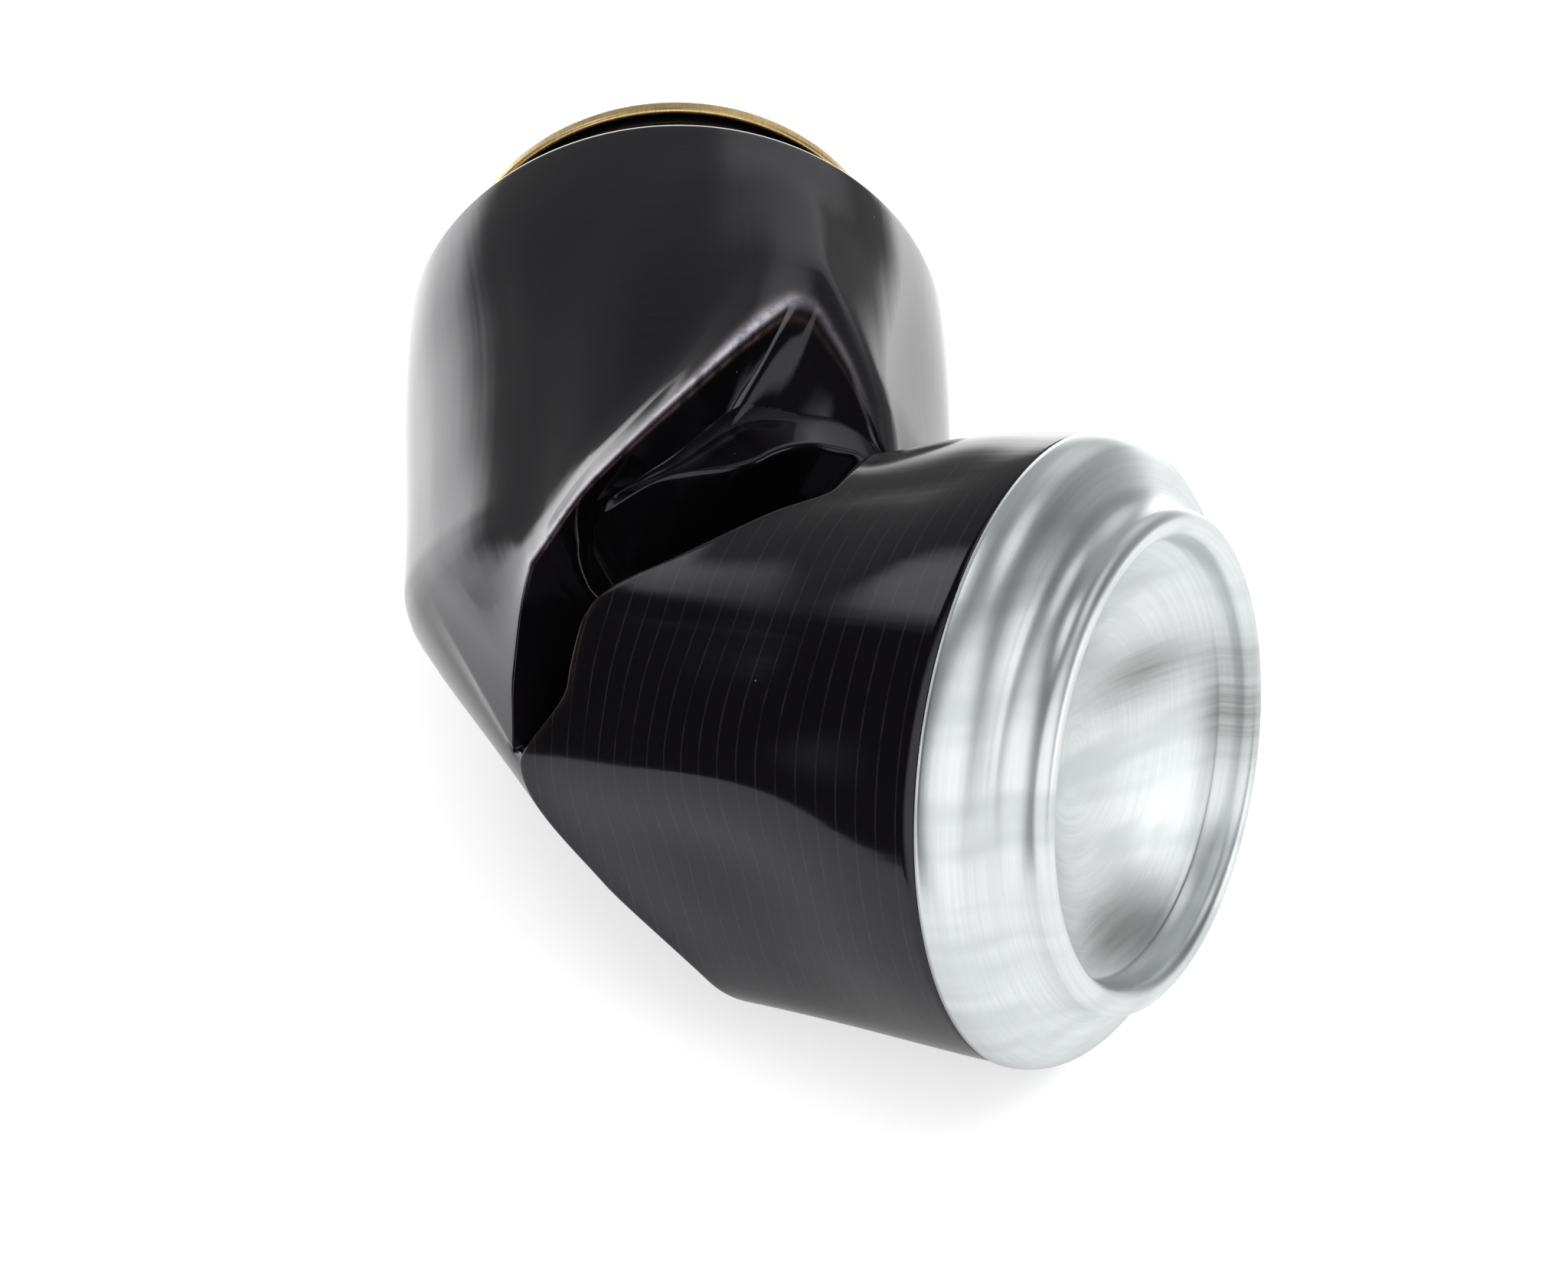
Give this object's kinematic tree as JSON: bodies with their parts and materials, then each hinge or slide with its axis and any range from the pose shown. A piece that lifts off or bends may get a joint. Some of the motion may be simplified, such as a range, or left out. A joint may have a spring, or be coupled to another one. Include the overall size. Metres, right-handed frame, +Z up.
{
  "type": "crushed drink can",
  "caption": "Empty drink can bent double at a crushed waist, lying on its side, with a domed base, an opened lid and its pull tab.",
  "frame": {"origin": "middle of the bounding box, on the floor that the can lies on", "axes": "+Z up, +Y along the half with the lid, +X towards the half with the base"},
  "size_m": [0.0978, 0.1322, 0.0658],
  "materials": {
    "black_print": "gloss near-black print with fine pale hairlines round the can",
    "gold_lacquer": "clear gold lacquer over bright sheet",
    "bare_aluminium": "bare drawn aluminium with fine marks round it"
  },
  "bodies": {
    "root": {"can_body": "black_print", "can_end": "gold_lacquer", "pull_tab": "bare_aluminium"}
  },
  "joints": []
}
